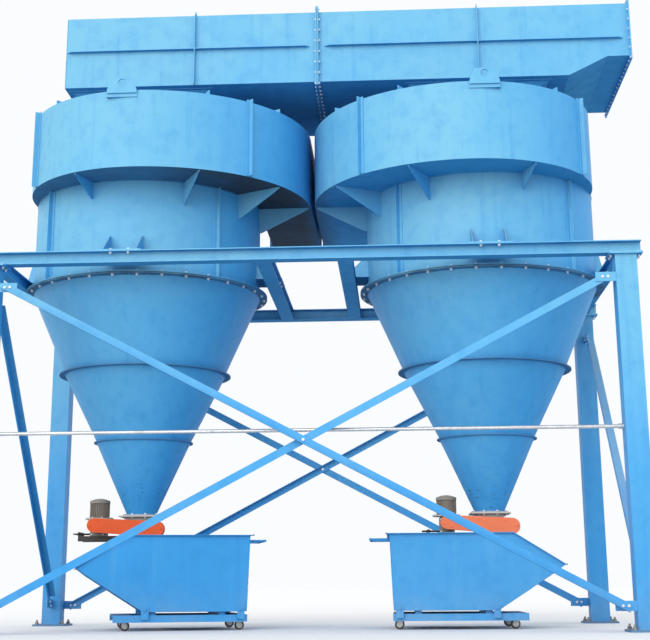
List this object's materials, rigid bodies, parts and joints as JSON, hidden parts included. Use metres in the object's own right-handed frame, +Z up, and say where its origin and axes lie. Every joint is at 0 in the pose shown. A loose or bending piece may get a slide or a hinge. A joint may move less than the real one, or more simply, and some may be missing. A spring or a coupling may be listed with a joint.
{
  "type": "twin cyclone separator",
  "caption": "Cyclone dust separator: mirrored scroll-inlet cyclones on a braced column frame, with an outlet header on top and rotary valves over wheeled dust bins.",
  "frame": {"origin": "middle of the footprint's bounding box, on the floor", "axes": "+Z up, the braced front of the machine looks along -Y, the header's open end points to +X"},
  "size_m": [6.502, 3.367, 6.255],
  "materials": {
    "blue_paint": "semi-gloss sky-blue enamel over primer, lightly dusty",
    "orange_paint": "satin signal-orange enamel on sheet steel",
    "grey_paint": "dull beige-grey machine paint, dusty",
    "dark_steel": "oily black-painted steel",
    "valve_paint": "dull grey machine paint, dusty",
    "galvanised_steel": "hot-dip galvanised pipe",
    "caster_steel": "zinc-plated forks and dark nylon wheels",
    "gasket": "dull black sheet gasket"
  },
  "bodies": {
    "root": {"column_front_left": "blue_paint", "column_front_right": "blue_paint", "column_rear_left": "blue_paint", "column_rear_right": "blue_paint", "front_beam": "blue_paint", "rear_beam": "blue_paint", "end_beams": "blue_paint", "middle_beams": "blue_paint", "front_bracing": "blue_paint", "rear_bracing": "blue_paint", "side_bracing": "blue_paint", "tie_pipe": "galvanised_steel", "header_left_section": "blue_paint", "header_right_section": "blue_paint", "header_ribs": "blue_paint", "left_outlet_hood": "blue_paint", "right_outlet_hood": "blue_paint", "vortex_finders": "blue_paint", "left_scroll_wall": "blue_paint", "right_scroll_wall": "blue_paint", "left_scroll_floor": "blue_paint", "right_scroll_floor": "blue_paint", "left_scroll_roof": "blue_paint", "right_scroll_roof": "blue_paint", "left_inlet_duct": "blue_paint", "right_inlet_duct": "blue_paint", "lifting_lugs": "blue_paint", "scroll_gussets": "blue_paint", "shell_stiffeners": "blue_paint", "left_barrel": "blue_paint", "right_barrel": "blue_paint", "support_brackets": "blue_paint", "cone_gaskets": "gasket", "left_upper_cone": "blue_paint", "right_upper_cone": "blue_paint", "left_middle_cone": "blue_paint", "right_middle_cone": "blue_paint", "left_lower_cone": "blue_paint", "right_lower_cone": "blue_paint", "rotary_valves": "valve_paint", "gear_motors": "grey_paint", "motor_brackets": "dark_steel", "chain_guards": "orange_paint", "left_bin": "blue_paint", "right_bin": "blue_paint", "left_trolley": "blue_paint", "right_trolley": "blue_paint", "casters": "caster_steel"}
  },
  "joints": []
}
